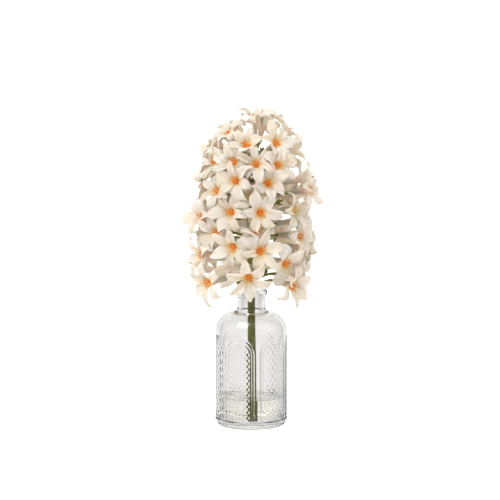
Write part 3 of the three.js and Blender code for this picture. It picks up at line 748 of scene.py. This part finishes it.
def draw_leaf(bm, root, way, side, length, half, curl):
    """A narrow folded bract: a grid bent along its length and thickened."""
    made = bmesh.ops.create_grid(bm, x_segments=4, y_segments=8, size=0.5)["verts"]
    faces = list(dict.fromkeys(face for vert in made for face in vert.link_faces))
    face_way = way.cross(side)
    for vert in made:
        s, t = vert.co.x * 2, vert.co.y + 0.5
        wide = half * (0.35 + 0.65 * math.sin(math.pi * min(t * 0.9 + 0.12, 1.0))) * (1 - t ** 5 * 0.92)
        lift = 0.5 * (length * curl * t * t + abs(s) * wide)
        vert.co = root + way * (length * t) + side * (s * wide) + face_way * lift
    made = bmesh.ops.solidify(bm, geom=faces, thickness=LEAF_THICKNESS)["geom"]
    faces = list({f for v in {v for f in faces for v in f.verts} for f in v.link_faces}
                 | set(of_kind(made, bmesh.types.BMFace)))
    for face in faces:
        face.material_index = BRACT
    bmesh.ops.recalc_face_normals(bm, faces=faces)


def draw_tuft(bm, number, tuft):
    """A thin stalk out of the stem, with a few narrow bracts spread round its end."""
    turn, height = tuft
    end = stem_at(height) + outward(turn) * (TUFT_REACH * head_radius(height) / HEAD_RADIUS)
    end.z = height
    share = share_at(height - TUFT_RISE)
    start = stem_point(share) + outward(turn) * (stem_radius(share) - SUNK)
    out = (end - start).normalized()
    line = curve_between((start, lerp(start, end, 0.35), lerp(start, end, 0.7), end), 6)
    sweep(bm, [station(at, way, lerp(1.3, 0.85, t)) for at, way, t in line], TUFT_SIDES, BRACT)
    across = out.cross(UP).normalized()
    for i in range(LEAVES):
        seed = BRACT_DRAWS + number * 10 + i
        about = math.radians(360 * i / LEAVES + between(-20, 20, seed))
        aside = Quaternion(out, about) @ across
        splay = math.radians(between(16, 42, seed + 200))
        way = out * math.cos(splay) + aside * math.sin(splay)
        side = way.cross(out).normalized()
        root = end - out * between(0.2, 3.5, seed + 400)
        draw_leaf(bm, root, way, side, between(6, 9.5, seed + 600), between(0.8, 1.25, seed + 800),
                  between(-0.25, 0.35, seed + 900))


# ---- The florets

TUBE_SHARE = 0.3  # of the way up a strip, from the floret's foot to its rim
TUBE = (  # height and radius of the tube below the rim
    (-22, 1.6), (-21.4, 2.3), (-20, 2.95), (-17, 3.3), (-13, 3.1), (-9, 3.35), (-5, 3.8), (-2, 4.1), (0, 4.2),
)
ACROSS, ALONG = 10, 34
PETAL_THICKNESS = 0.4
PETAL_FACE, PETAL_BACK, FILAMENT, ANTHER, HEART = range(5)  # a floret's materials
PALE_FLORET = (56, 217)  # turn and height of the floret whose throat is a pale yellow
PALE_INDEX = next(i for i, row in enumerate(floret_rows()) if (row[0], row[2]) == PALE_FLORET)
BACK_BROADER = 1.15  # the tepals behind the stem are broader, and fill the head
PALE_GLOW, GLOWS = 0.15, (0.7, 1.0)  # how far the throats have coloured

# The ranges that each blade's shape is drawn from: the roll in radians, the wave's turns in whole ones,
# and the breadth as a share of the tepal's, with the rest in millimetres
ROLL, BREADTH, FOLD, TURNS, WAVE = (-0.95, 0.95), (1.05, 1.55), (-0.8, 3.0), (0.9, 1.9), (0.5, 1.5)
CURL, LEAN, HOOK = (-3.2, 1.8), (-3.4, 3.4), (-1.5, 5.5)
GROOVE_DEPTH, GROOVE_HALF, PLEAT_DEPTH, RUFFLE_DEPTH = 0.32, 0.14, 0.15, 0.28


def tepal_of(index, size, k):
    """The bend of one tepal, before it settles among its neighbours."""
    at = TEPAL_DRAWS + index * 6 + k
    inner = k % 2
    return {
        "length": TEPAL_LENGTH * size * between(0.92, 1.06, at) * (0.96 if inner else 1),
        "half": TEPAL_HALF * size * (0.92 if inner else 1.04),
        "rise": TEPAL_RISE + between(-8, 8, at + 600) + (6 if inner else 0),
        "fall": TEPAL_FALL + between(-26, 24, at + 1200) + (12 if inner else 0),
        "swing": between(-7, 7, at + 1800),
        "twist": between(-14, 14, at + 2400),
    }


def bent(tepal, share, lift, swing):
    return {**tepal, "length": tepal["length"] * share, "fall": tepal["fall"] + lift,
            "swing": tepal["swing"] + swing}


def tepal_line(k, size, tepal, t):
    """The middle of a tepal at a share of its length, the side it spreads to and the way it faces."""
    turn = math.radians(tepal["rise"] - tepal["fall"])
    start = math.radians(tepal["rise"])
    slope = math.radians(lerp(tepal["rise"], tepal["fall"], t))
    reach = RIM_RADIUS * size + tepal["length"] * (math.sin(start) - math.sin(slope)) / turn
    climb = tepal["length"] * (math.cos(slope) - math.cos(start)) / turn
    angle = math.radians(60 * k + tepal["swing"] * t * t)
    spoke = Vector((math.cos(angle), math.sin(angle), 0))
    way = spoke * math.cos(slope) + UP * math.sin(slope)
    side = Quaternion(way, math.radians(tepal["twist"] * t)) @ Vector((-spoke.y, spoke.x, 0))
    return spoke * reach + UP * climb, side, way.cross(side)


def settled_tepals(place, node):
    """The floret's six tepals as they lie in the frame: the first bend whose tip is a corner of its node."""
    index, matrix, _, size = place
    corners = kdtree.KDTree(len(node.data.vertices))
    for i, vert in enumerate(node.data.vertices):
        corners.insert(matrix.inverted() @ (vert.co / MM), i)
    corners.balance()
    tepals = []
    for k in range(6):
        free = tepal_of(index, size, k)
        tries = (bent(free, share, lift, swing) for share in SHARES for lift in LIFTS for swing in SWINGS)
        for tepal in tries:
            if corners.find(tepal_line(k, size, tepal, 1.0)[0])[2] < TIP_NEAR:
                tepals.append(tepal)
                break
        else:
            raise RuntimeError(f"tepal {k} of {node.name} isn't where its rule puts it")
    return tepals


def blade_width(t, seed):
    """A tepal's half width as a share of its widest, from its root at the rim to its blunt point."""
    widest, point = between(0.30, 0.55, seed + 31), between(0.6, 1.1, seed + 37)
    narrowing = max(1 - clamp((t - widest + 0.06) / (1.06 - widest)) ** 2.0, 0.0) ** point
    return lerp(0.6, 1.0, smooth(t / widest)) * narrowing + 0.07 * t


def blade_point(k, size, tepal, s, t, seed):
    """A point of a tepal's blade: s runs across from -1 to 1, t along from the rim to the tip."""
    middle, side, face = tepal_line(k, size, tepal, t)
    roll = Quaternion(side.cross(face), between(*ROLL, seed + 61) * smooth((t - 0.25) / 0.75))
    side, face = roll @ side, roll @ face
    width = blade_width(t, seed)
    half = tepal["half"] * between(*BREADTH, seed + 53) * width
    spread = smooth(t / 0.25)
    groove = -GROOVE_DEPTH * math.exp(-(s / GROOVE_HALF) ** 2) * spread * (1 - t)
    pleat = PLEAT_DEPTH * math.cos(s * 9.4) * spread * (1 - t * t)
    fold = between(*FOLD, seed + 19)  # how far the edges close over the face
    cup = fold * (abs(s) ** 1.6) * lerp(0.8, 1.1, t) * width - 0.3
    turns = math.tau * (between(*TURNS, seed) * t + drawn(seed + 7))
    wave = between(*WAVE, seed + 43) * s * s * smooth(t / 0.35) * math.sin(turns + 1.6 * s)
    frill = math.sin(math.tau * (4.3 * t + drawn(seed + 47)) + 2 * s)
    ruffle = RUFFLE_DEPTH * abs(s) ** 3 * smooth((t - 0.2) / 0.3) * frill
    curl = between(*CURL, seed + 13) * smooth((t - 0.55) / 0.45) * t
    lean = between(*LEAN, seed + 29) * smooth((t - 0.25) / 0.75) * t  # the tip turns aside
    lift = groove + pleat + cup + wave + ruffle + curl
    hook = clamp((t - 0.68) / 0.32) ** 2 * between(*HOOK, seed + 59) * size  # the tip rolls back
    point = middle + side * (s * half * (1 - 0.10 * abs(fold)) + lean) + face * (lift * size - hook)
    point -= side.cross(face) * (0.35 * abs(hook))
    root = polar(RIM_RADIUS * size, 60 * k + 30 * s, 0) + (middle - tepal_line(k, size, tepal, 0.0)[0])
    return root.lerp(point, smooth(t / 0.2))


def draw_tepal(bm, k, size, tepal, seed, layers, values):
    """One of the six strips of a floret, from its foot up the tube and out along the blade."""
    made = bmesh.ops.create_grid(bm, x_segments=ACROSS, y_segments=ALONG, size=0.5, calc_uvs=True)["verts"]
    for vert in made:
        s, v = vert.co.x * 2, vert.co.y + 0.5
        for layer, value in zip(layers, values):
            vert[layer] = value
        if v <= TUBE_SHARE + 1e-6:
            z = lerp(-OVARY_DEPTH, 0, smooth(v / TUBE_SHARE) * 0.35 + v / TUBE_SHARE * 0.65)
            radius = through(TUBE, z) * size
            flute = 1 - 0.05 * (abs(s) ** 2) * smooth((z + 20) / 8)
            vert.co = polar(radius * flute, 60 * k + 30 * s, z * size)
        else:
            vert.co = blade_point(k, size, tepal, s, (v - TUBE_SHARE) / (1 - TUBE_SHARE), seed)


def draw_stamens(bm, size, index):
    """Six filaments out of the throat, each with an anther across its end."""
    for k in range(6):
        seed = STAMEN_DRAWS + index * 6 + k
        angle = 60 * k + 30 + between(-12, 12, seed)
        root = polar(3.3 * size, angle, -5 * size)
        reach, height = between(0.7, 3.9, seed + 300) * size, between(1.8, 5.0, seed + 600) * size
        tip = polar(reach, angle, height)
        bend = polar(2.2 * size, angle, 0.5 * size)
        line = curve_between((root, lerp(root, bend, 0.5), bend, tip), 5)
        stations = [station(at, way, lerp(0.42, 0.3, t) * size) for at, way, t in line]
        sweep(bm, stations, 6, FILAMENT)
        skew = Vector([between(-0.6, 0.6, seed + 900 + i * 100) for i in range(3)])
        way = (line[-1][1] + skew).normalized()
        length = between(1.2, 2.6, seed + 1200) * size
        made = bmesh.ops.create_icosphere(bm, subdivisions=2, radius=1.0)["verts"]
        turn = UP.rotation_difference(way).to_matrix().to_4x4()
        matrix = Matrix.Translation(tip + way * length * 0.6) @ turn @ sized(0.65 * size, 0.5 * size, length)
        bmesh.ops.transform(bm, matrix=matrix, verts=made)
        paint(made, ANTHER)


def draw_heart(bm, size):
    """The crown of the ovary, deep in the throat, with the style on it."""
    made = bmesh.ops.create_uvsphere(bm, u_segments=18, v_segments=10, radius=1.0)["verts"]
    matrix = Matrix.Translation((0, 0, -7.5 * size)) @ sized(2.9 * size, 2.9 * size, 4.2 * size)
    bmesh.ops.transform(bm, matrix=matrix, verts=made)
    paint(made, HEART)
    stations = [station(Vector((0, 0, z * size)), UP, r * size)
                for z, r in ((-5, 0.7), (-3.4, 0.6), (-2.6, 0.5), (-2.1, 0.45), (-1.8, 0.7), (-1.4, 0.5))]
    sweep(bm, stations, 8, HEART)


def looks_outwards(faces, size):
    """Whether the wall of a floret's tube looks outwards, half way up it."""
    wall = min(faces, key=lambda face: abs(face.calc_center_median().z + 9 * size))
    return wall.normal.xy.dot(wall.calc_center_median().xy) >= 0


def draw_floret(place, tepals):
    """Six tepals joined down the tube, given their thickness, with the stamens and the ovary inside."""
    index, matrix, _, size = place
    bm = bmesh.new()
    bm.loops.layers.uv.new("UVMap")
    for name in ("tone", "glow"):
        bm.verts.layers.float.new(name)
    layers = [bm.verts.layers.float[name] for name in ("tone", "glow")]
    glow = PALE_GLOW if index == PALE_INDEX else between(*GLOWS, GLOW_DRAWS + index)
    broad = BACK_BROADER if matrix.translation.y > 0 else 1.0
    for k, tepal in enumerate(tepals):
        seed = BLADE_DRAWS + index * 60 + k * 3
        tepal = {**tepal, "half": tepal["half"] * broad}
        draw_tepal(bm, k, size, tepal, seed, layers, (drawn(seed + 1), glow))
    bmesh.ops.remove_doubles(bm, verts=bm.verts, dist=4 * MERGE)
    core = [vert for vert in bm.verts if vert.co.xy.length < 3]
    low = min(vert.co.z for vert in core)
    foot = {vert for vert in core if vert.co.z < low + 0.2}
    ring = [edge for edge in bm.edges if edge.is_boundary and foot.issuperset(edge.verts)]
    bottom = bmesh.ops.edgeloop_fill(bm, edges=ring)["faces"]
    bmesh.ops.poke(bm, faces=bottom)
    bmesh.ops.recalc_face_normals(bm, faces=bm.faces)
    outer = list(bm.faces)
    if not looks_outwards(outer, size):
        bmesh.ops.reverse_faces(bm, faces=outer)
    for face in outer:
        face.material_index = PETAL_BACK
    bm.normal_update()
    normals = {tuple(round(c, 4) for c in vert.co): vert.normal.copy() for vert in bm.verts}
    made = bmesh.ops.extrude_face_region(bm, geom=outer, use_keep_orig=True)["geom"]
    for vert in of_kind(made, bmesh.types.BMVert):
        vert.co -= normals[tuple(round(c, 4) for c in vert.co)] * PETAL_THICKNESS
    for face in set(bm.faces) - set(outer):
        face.material_index = PETAL_FACE
    bmesh.ops.recalc_face_normals(bm, faces=bm.faces)
    draw_stamens(bm, size, index)
    draw_heart(bm, size)
    bmesh.ops.transform(bm, matrix=matrix, verts=bm.verts)
    return bm


# ---- Settings


def tint(name, description, default):
    return FloatVectorProperty(name=name, description=description, default=default, min=0, max=1,
                               size=3, subtype="COLOR")


def length(name, description, default, low, high):
    return FloatProperty(name=name, description=description, default=default, min=low, max=high,
                         unit="LENGTH")


def amount(name, description, default, high):
    return FloatProperty(name=name, description=description, default=default, min=0, max=high)


def share_of(name, description, default):
    return FloatProperty(name=name, description=description, default=default, min=0, max=1, subtype="FACTOR")


class HYACINTH_PG_vase(bpy.types.PropertyGroup):
    rib_height: length("Rib height", "How far the double arches stand out of the glass",
                       0.00048, 0.0001, 0.0015)
    relief_height: length("Relief height", "How far the lattice and the beads stand out",
                          0.00034, 0.0001, 0.0012)
    meniscus: length("Meniscus", "How far the water is drawn up the glass", 0.0008, 0.0, 0.003)
    glass: tint("Glass", "Colour of the glass", (0.90, 0.895, 0.89))
    water: tint("Water", "Colour of the water", (0.94, 0.955, 0.875))


class HYACINTH_PG_plant(bpy.types.PropertyGroup):
    petal_light: tint("Petal", "The lightest petals", (0.89, 0.79, 0.69))
    petal_cream: tint("Cream", "The creamiest petals", (0.86, 0.70, 0.54))
    petal_vein: tint("Vein", "Veins and shadows of the petals", (0.70, 0.51, 0.35))
    petal_foot: tint("Petal foot", "Outside of the tube", (0.86, 0.84, 0.48))
    throat_glow: share_of("Throat glow", "Light that comes through the thin tube into the throat", 0.3)
    throat_pale: tint("Pale throat", "Throat of a floret that has hardly coloured", (0.86, 0.72, 0.30))
    throat_halo: tint("Throat halo", "Petal roots around the throat", (0.92, 0.60, 0.20))
    throat: tint("Throat", "Inside of the throat", (0.93, 0.44, 0.08))
    heart: tint("Heart", "Crown of the ovary in the throat", (0.92, 0.42, 0.06))
    filament: tint("Filament", "Threads of the stamens", (0.90, 0.22, 0.03))
    anther: tint("Anther", "Heads of the stamens", (0.80, 0.13, 0.02))
    green: tint("Stalk", "Colour of the stalk", (0.17, 0.19, 0.012))
    green_light: tint("Stalk streaks", "Lighter streaks of the stalk", (0.25, 0.27, 0.03))
    bract: tint("Bracts", "Colour of the small leaves among the florets", (0.24, 0.26, 0.03))


class HYACINTH_PG_stage(bpy.types.PropertyGroup):
    distance: length("Distance", "From the camera to the flower", 2.0, 0.5, 6.0)
    elevation: FloatProperty(name="Elevation", description="How far the camera looks down",
                             default=math.radians(6.0), min=0, max=math.radians(80), subtype="ANGLE")
    aim: length("Aim", "Height that the camera looks at", 0.1765, 0, 0.4)
    lens: FloatProperty(name="Lens", description="Focal length of the camera, in millimetres",
                        default=144.0, min=30, max=300)
    key_power: amount("Key light", "Power of the main soft light, in watts", 15.0, 200)
    ambient: amount("Ambient", "Strength of the light from all round", 1.1, 3)
    floor: tint("Floor", "Colour of the paper that the vase stands on", (0.97, 0.97, 0.97))
    flag: share_of("Band shade", "How much darker the bands are that the glass sees", 0.33)
    front_flag: share_of("Front shade", "How much darker the room and the paper are towards the camera", 0.72)
    backdrop: amount("Backdrop", "Strength of the white behind the flower", 1.1, 3)
    foot_glow: amount("Foot glow", "Light that the glass gathers on the paper around its foot", 0.42, 2)
    floor_glow: amount("Floor glow", "How far the paper is lit beyond the room's own light", 0.45, 2)


# ---- Operators


class HYACINTH_OT_vase(bpy.types.Operator):
    """Build the pressed-glass bottle vase"""

    bl_idname = "hyacinth.vase"
    bl_label = "Vase"

    def execute(self, context):
        look = context.scene.hyacinth_vase
        finish(draw_vase(look), "bottle_vase", [glass_material(look)], ["vase"], sharp=60)
        return {"FINISHED"}


class HYACINTH_OT_water(bpy.types.Operator):
    """Build the water in the vase"""

    bl_idname = "hyacinth.water"
    bl_label = "Water"

    def execute(self, context):
        look = context.scene.hyacinth_vase
        finish(draw_water(look), "vase_water", [water_material(look)], ["water"], sharp=60)
        return {"FINISHED"}


class HYACINTH_OT_stem(bpy.types.Operator):
    """Build the stalk with its pedicels and bracts"""

    bl_idname = "hyacinth.stem"
    bl_label = "Stem"

    def execute(self, context):
        look = context.scene.hyacinth_plant
        bm = bmesh.new()
        draw_stalk(bm)
        for place in floret_places():
            draw_pedicel(bm, place)
        for number, tuft in enumerate(TUFTS):
            draw_tuft(bm, number, tuft)
        finish(bm, "flower_stem", [stalk_material(look), bract_material(look)], ["stem"])
        return {"FINISHED"}


class HYACINTH_OT_florets(bpy.types.Operator):
    """Build every floret in its place on the stem"""

    bl_idname = "hyacinth.florets"
    bl_label = "Florets"

    def execute(self, context):
        look = context.scene.hyacinth_plant
        materials = [
            petal_material("petal_face", True, look),
            petal_material("petal_back", False, look),
            stamen_material("filament_orange", colour(look.filament), colour(look.throat_halo), 900.0),
            stamen_material("anther_orange", colour(look.anther), colour(look.filament), 1500.0),
            stamen_material("heart_orange", colour(look.heart), colour(look.throat_halo), 700.0),
        ]
        pale = materials[:2] + [
            stamen_material("filament_yellow", colour(look.throat_halo), colour(look.throat_pale), 900.0),
            stamen_material("anther_yellow", colour(look.filament), colour(look.throat_halo), 1500.0),
            stamen_material("heart_yellow", colour(look.throat_pale), colour(look.throat_halo), 700.0),
        ]
        for place in floret_places():
            node = f"floret_{place[0] + 1:02d}"
            tepals = settled_tepals(place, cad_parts[node])
            looks = pale if place[0] == PALE_INDEX else materials
            finish(draw_floret(place, tepals), node + "_bloom", looks, [node])
        return {"FINISHED"}


# ---- The stage

PAPER_RADIUS, PAPER_DROP = 9.0, 0.0001  # in metres, as all of the stage is
LAMP_AIM = 0.19
LAMPS = (  # name, share of the key light's power, width, turn, lift and distance
    ("key_light", 1.0, 1.0, -38, 48, 1.6),
    ("fill_light", 0.3, 1.6, 60, 25, 1.8),
)
SENSOR_WIDTH = 36.0
AIM_ASIDE = -0.0013


def studio_world(look):
    """White light from all round, less of it from the front, with darker bands that draw the glass."""
    world = bpy.data.worlds.new("studio")
    world.use_nodes = True
    n = Nodes(world.node_tree)
    way = n.add("TexCoord").outputs["Generated"]
    x, y, z = n.add("SeparateXYZ", {"Vector": way}).outputs
    turn = n.math("MULTIPLY", n.math("ARCTAN2", x, y), BANDS)
    wide = n.math("MULTIPLY_ADD", n.math("COSINE", turn), -0.5, 0.5)
    level = n.math("SUBTRACT", 1.0, n.math("MULTIPLY", n.math("ABSOLUTE", z), 1.6))
    height = n.math("SMOOTH_MAX", level, 0.0, 0.1)
    bands = n.math("MULTIPLY", n.math("MULTIPLY", n.math("POWER", wide, 1.2), height), look.flag)
    front = n.math("POWER", n.math("MAXIMUM", n.math("MULTIPLY", y, -1.0), 0.0), 2.0)
    shade = n.math("MAXIMUM", bands, n.math("MULTIPLY", front, look.front_flag))
    seen = n.add("LightPath").outputs["Is Camera Ray"]
    unseen = n.math("MULTIPLY", n.math("SUBTRACT", 1.0, shade), look.ambient)
    lit = n.math("MULTIPLY", unseen, n.math("SUBTRACT", 1.0, seen))
    background = n.tree.nodes["Background"]
    background.inputs["Color"].default_value = (1.0, 1.0, 1.0, 1.0)
    n.tree.links.new(n.math("MULTIPLY_ADD", seen, look.backdrop, lit), background.inputs["Strength"])
    return world


class HYACINTH_OT_stage(bpy.types.Operator):
    """Set up the floor, the lights and the camera"""

    bl_idname = "hyacinth.stage"
    bl_label = "Stage"

    def execute(self, context):
        look = context.scene.hyacinth_stage
        scene = context.scene
        bm = bmesh.new()
        bmesh.ops.create_circle(bm, cap_ends=True, segments=96, radius=PAPER_RADIUS)
        bmesh.ops.translate(bm, vec=(0, 0, -PAPER_DROP), verts=bm.verts)
        mesh = bpy.data.meshes.new("studio_floor")
        bm.to_mesh(mesh)
        bm.free()
        mesh.materials.append(floor_material(look))
        floor = bpy.data.objects.new("studio_floor", mesh)
        scene.collection.objects.link(floor)

        for name, share, size, turn, lift, reach in LAMPS:
            lamp = bpy.data.lights.new(name, "AREA")
            lamp.energy, lamp.size = look.key_power * share, size
            light = bpy.data.objects.new(name, lamp)
            away = outward(turn) * math.cos(math.radians(lift)) + UP * math.sin(math.radians(lift))
            light.location = UP * LAMP_AIM + away * reach
            light.rotation_euler = away.to_track_quat("Z", "Y").to_euler()
            scene.collection.objects.link(light)

        scene.world = studio_world(look)
        scene.view_settings.view_transform = "Standard"

        camera = bpy.data.cameras.new("camera")
        camera.lens, camera.sensor_width = look.lens, SENSOR_WIDTH
        eye = bpy.data.objects.new("camera", camera)
        away = outward(0) * math.cos(look.elevation) + UP * math.sin(look.elevation)
        eye.location = Vector((AIM_ASIDE, 0, look.aim)) + away * look.distance
        eye.rotation_euler = away.to_track_quat("Z", "Y").to_euler()
        scene.collection.objects.link(eye)
        scene.camera = eye
        return {"FINISHED"}


# ---- The panel, and the run


class HYACINTH_PT_panel(bpy.types.Panel):
    """Lists the steps that build the flower and its stage"""

    bl_label = "Hyacinth"
    bl_idname = "HYACINTH_PT_panel"
    bl_space_type = "VIEW_3D"
    bl_region_type = "UI"
    bl_category = "Hyacinth"

    def draw(self, context):
        layout = self.layout
        for operator in OPERATORS:
            layout.operator(operator.bl_idname)
        scene = context.scene
        for settings in (scene.hyacinth_vase, scene.hyacinth_plant, scene.hyacinth_stage):
            column = layout.column()
            for name in settings.__annotations__:
                column.prop(settings, name)


OPERATORS = (HYACINTH_OT_stage, HYACINTH_OT_vase, HYACINTH_OT_water, HYACINTH_OT_stem, HYACINTH_OT_florets)
CLASSES = (HYACINTH_PG_vase, HYACINTH_PG_plant, HYACINTH_PG_stage, *OPERATORS, HYACINTH_PT_panel)


def register():
    for cls in CLASSES:
        bpy.utils.register_class(cls)
    bpy.types.Scene.hyacinth_vase = PointerProperty(type=HYACINTH_PG_vase)
    bpy.types.Scene.hyacinth_plant = PointerProperty(type=HYACINTH_PG_plant)
    bpy.types.Scene.hyacinth_stage = PointerProperty(type=HYACINTH_PG_stage)


def unregister():
    del bpy.types.Scene.hyacinth_stage
    del bpy.types.Scene.hyacinth_plant
    del bpy.types.Scene.hyacinth_vase
    for cls in reversed(CLASSES):
        bpy.utils.unregister_class(cls)


def main():
    register()
    bpy.ops.hyacinth.stage()
    bpy.ops.hyacinth.vase()
    bpy.ops.hyacinth.water()
    bpy.ops.hyacinth.stem()
    bpy.ops.hyacinth.florets()


if __name__ == "__main__":
    main()
